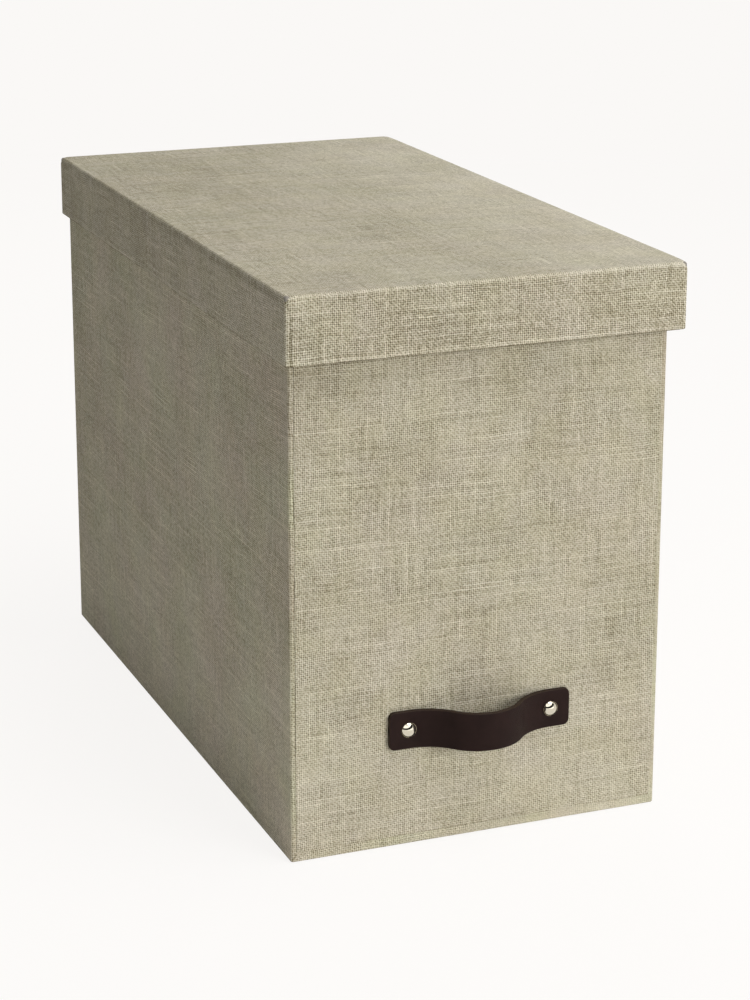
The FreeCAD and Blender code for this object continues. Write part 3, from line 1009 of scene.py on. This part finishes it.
def camera():
    """The photograph's viewing angle: from the front left, a little above the lid."""
    forward = Vector((-math.sin(CAMERA_YAW) * math.cos(CAMERA_PITCH),
                      math.cos(CAMERA_YAW) * math.cos(CAMERA_PITCH), -math.sin(CAMERA_PITCH)))
    level = Vector((math.cos(CAMERA_YAW), math.sin(CAMERA_YAW), 0))
    upright = level.cross(forward)
    right = level * math.cos(CAMERA_ROLL) + upright * math.sin(CAMERA_ROLL)
    up = right.cross(forward)
    place = CAMERA_TARGET - forward * CAMERA_DISTANCE
    place += right * CAMERA_OFFSET[0] + up * CAMERA_OFFSET[1]
    data = bpy.data.cameras.new("camera")
    data.lens = CAMERA_LENS
    data.shift_x, data.shift_y = CAMERA_SHIFT
    data.clip_end = 60
    made = bpy.data.objects.new("camera", data)
    bpy.context.scene.collection.objects.link(made)
    turned = Matrix((right, up, -forward)).transposed().to_4x4()
    made.matrix_world = Matrix.Translation(place) @ turned
    bpy.context.scene.camera = made


def lamp(name, place, aim, size, power):
    """A white softbox at a place, turned to face another."""
    data = bpy.data.lights.new(name, "AREA")
    data.shape = "RECTANGLE"
    data.size, data.size_y = size
    data.energy = power
    made = bpy.data.objects.new(name, data)
    bpy.context.scene.collection.objects.link(made)
    place = Vector(place)
    turned = (Vector(aim) - place).to_track_quat("-Z", "Y").to_matrix().to_4x4()
    made.matrix_world = Matrix.Translation(place) @ turned
    made.visible_camera = False
    return made


def seen_as_background(g):
    """1 on the rays that should see the pale background, and 0 on those that light."""
    path = g.node("LightPath").outputs
    seen = g.math("MAXIMUM", path["Is Camera Ray"], path["Is Glossy Ray"])
    return g.math("MAXIMUM", seen, path["Is Transmission Ray"])


def floor():
    """A wide pale floor that keeps a soft shadow round the object and fades to plain white."""
    g = Graph("floor_paint")
    place = object_place(g, 1.0)
    away = g.node("VectorMath", {0: place}, operation="LENGTH").outputs["Value"]
    share = g.smooth(away, *FLOOR_FADE, FLOOR_SHARE, 0.0)
    speck = g.noise(place, 9.0, 2.0)
    colour = g.ramp(speck, [(0.0, WHITE), (1.0, srgb(253, 251, 249))])
    lit = g.node("BsdfDiffuse", {"Color": colour}).outputs[0]
    far = g.node("Emission", {"Color": WHITE, "Strength": 1.0}).outputs[0]
    near = g.node("Emission", {"Color": NEAR_GLOW, "Strength": 1.0}).outputs[0]
    glow = g.node("MixShader", {0: g.smooth(away, *FLOOR_FADE), 1: near, 2: far}).outputs[0]
    seen = g.node("MixShader", {0: share, 1: glow, 2: lit}).outputs[0]
    bounce = g.node("BsdfDiffuse", {"Color": srgb(244, 242, 238)}).outputs[0]
    both = g.node("MixShader", {0: seen_as_background(g), 1: bounce, 2: seen})
    g.plug(g.output.inputs[0], both.outputs[0])
    bm = bmesh.new()
    bmesh.ops.create_grid(bm, x_segments=8, y_segments=8, size=30)
    made = finish_mesh("floor", bm, g.material)


def card(name, azimuths, low, high, colour, strength, radius):
    """A curved studio card round the front, which only reflections see.

    The azimuths are of its two ends, and low and high are its edges' levels at both ends,
    between which an edge rises more and more steeply.
    """
    g = Graph(name)
    glow = g.node("Emission", {"Color": colour, "Strength": strength})
    g.plug(g.output.inputs[0], glow.outputs[0])
    bm = bmesh.new()
    edges = []
    for first, last in (low, high):
        edge = []
        for i in range(CARD_STEPS + 1):
            share = i / CARD_STEPS
            angle = math.radians(azimuths[0] + (azimuths[1] - azimuths[0]) * share)
            edge.append(bm.verts.new((radius * math.sin(angle),
                                      CARD_CENTRE_Y - radius * math.cos(angle),
                                      first + (last - first) * share ** 3)))
        edges.append(edge)
    fill_grid(bm, edges)
    made = finish_mesh(name, bm, g.material)
    made.visible_camera = False
    made.visible_diffuse = False
    made.visible_shadow = False
    made.visible_transmission = False


def world():
    """Even studio light, and white where the camera or a reflection looks past the floor."""
    made = bpy.data.worlds.new("studio")
    bpy.context.scene.world = made
    made.use_nodes = True
    tree = made.node_tree
    background = tree.nodes["Background"]
    path = tree.nodes.new("ShaderNodeLightPath")
    seen = tree.nodes.new("ShaderNodeMath")
    seen.operation = "MAXIMUM"
    tree.links.new(path.outputs["Is Camera Ray"], seen.inputs[0])
    tree.links.new(path.outputs["Is Glossy Ray"], seen.inputs[1])
    mix = tree.nodes.new("ShaderNodeMix")
    mix.data_type = "RGBA"
    factor, light, pale = (mix.inputs[number] for number in MIX_INPUTS)
    tree.links.new(seen.outputs[0], factor)
    light.default_value = (WORLD_FILL, WORLD_FILL, WORLD_FILL, 1)
    pale.default_value = WHITE
    tree.links.new(mix.outputs[MIX_OUTPUT], background.inputs["Color"])
    background.inputs["Strength"].default_value = 1.0


# ---------------------------------------------------------------- everything together

def dress_cad_nodes(materials):
    """Gives every CAD node the material of its slot."""
    slots = {entry["node"]: entry["material_slot"] for entry in frame["record"]["subparts"]}
    for node, piece in frame["nodes"].items():
        piece.data.materials.clear()
        piece.data.materials.append(materials[slots[node]])


cloth = linen("linen_cloth", 0.0, WRAP_CONTRAST, drift=4)
steel, plate, board = strip_steel(), nickel(), greyboard()
paper, hide = lining_paper(), leather()
dress_cad_nodes({"greyboard": board, "greyboard_batten": board, "linen_cloth": cloth,
                 "lining_paper": paper, "rail_steel": steel, "rivet_steel": steel,
                 "strap_leather": hide, "nickel": plate})
body_cloth(cloth)
glued_sheet("front_cloth_panel", "front_sheet", 1, -1, linen("linen_front", 37.0))
glued_sheet("rear_cloth_panel", "rear_sheet", 1, 1, linen("linen_rear", 71.0))
glued_sheet("base_cloth_panel", "base_sheet", 2, -1, cloth)
lid_cloth(linen("linen_lid", 113.0, LID_CONTRAST))
strap(hide)
rivet_caps(plate)

camera()
lamp("front", (1.0, -2.05, 0.85), (0, 0, 0.13), (1.2, 0.9), 24.4)
lamp("overhead", (0.5, -0.6, 2.25), (0, 0, 0.2), (1.5, 1.5), 31)
rear = lamp("rear", (0.6, 2.3, 0.55), (0, 0, 0.13), (1.2, 0.9), 22)
rear.visible_glossy = False      # or it glares along the lid's top
card("card_white", (-80, 48), (0, 0), (2.5, 2.5), (1, 1, 1, 1), 1.7, radius=1.55)
card("card_dark", (-150, 75), (0, 0.9), (0.5, 2.5), (0.02, 0.02, 0.02, 1), 1.0, radius=1.5)
floor()
world()
bpy.context.scene.view_settings.view_transform = "Standard"
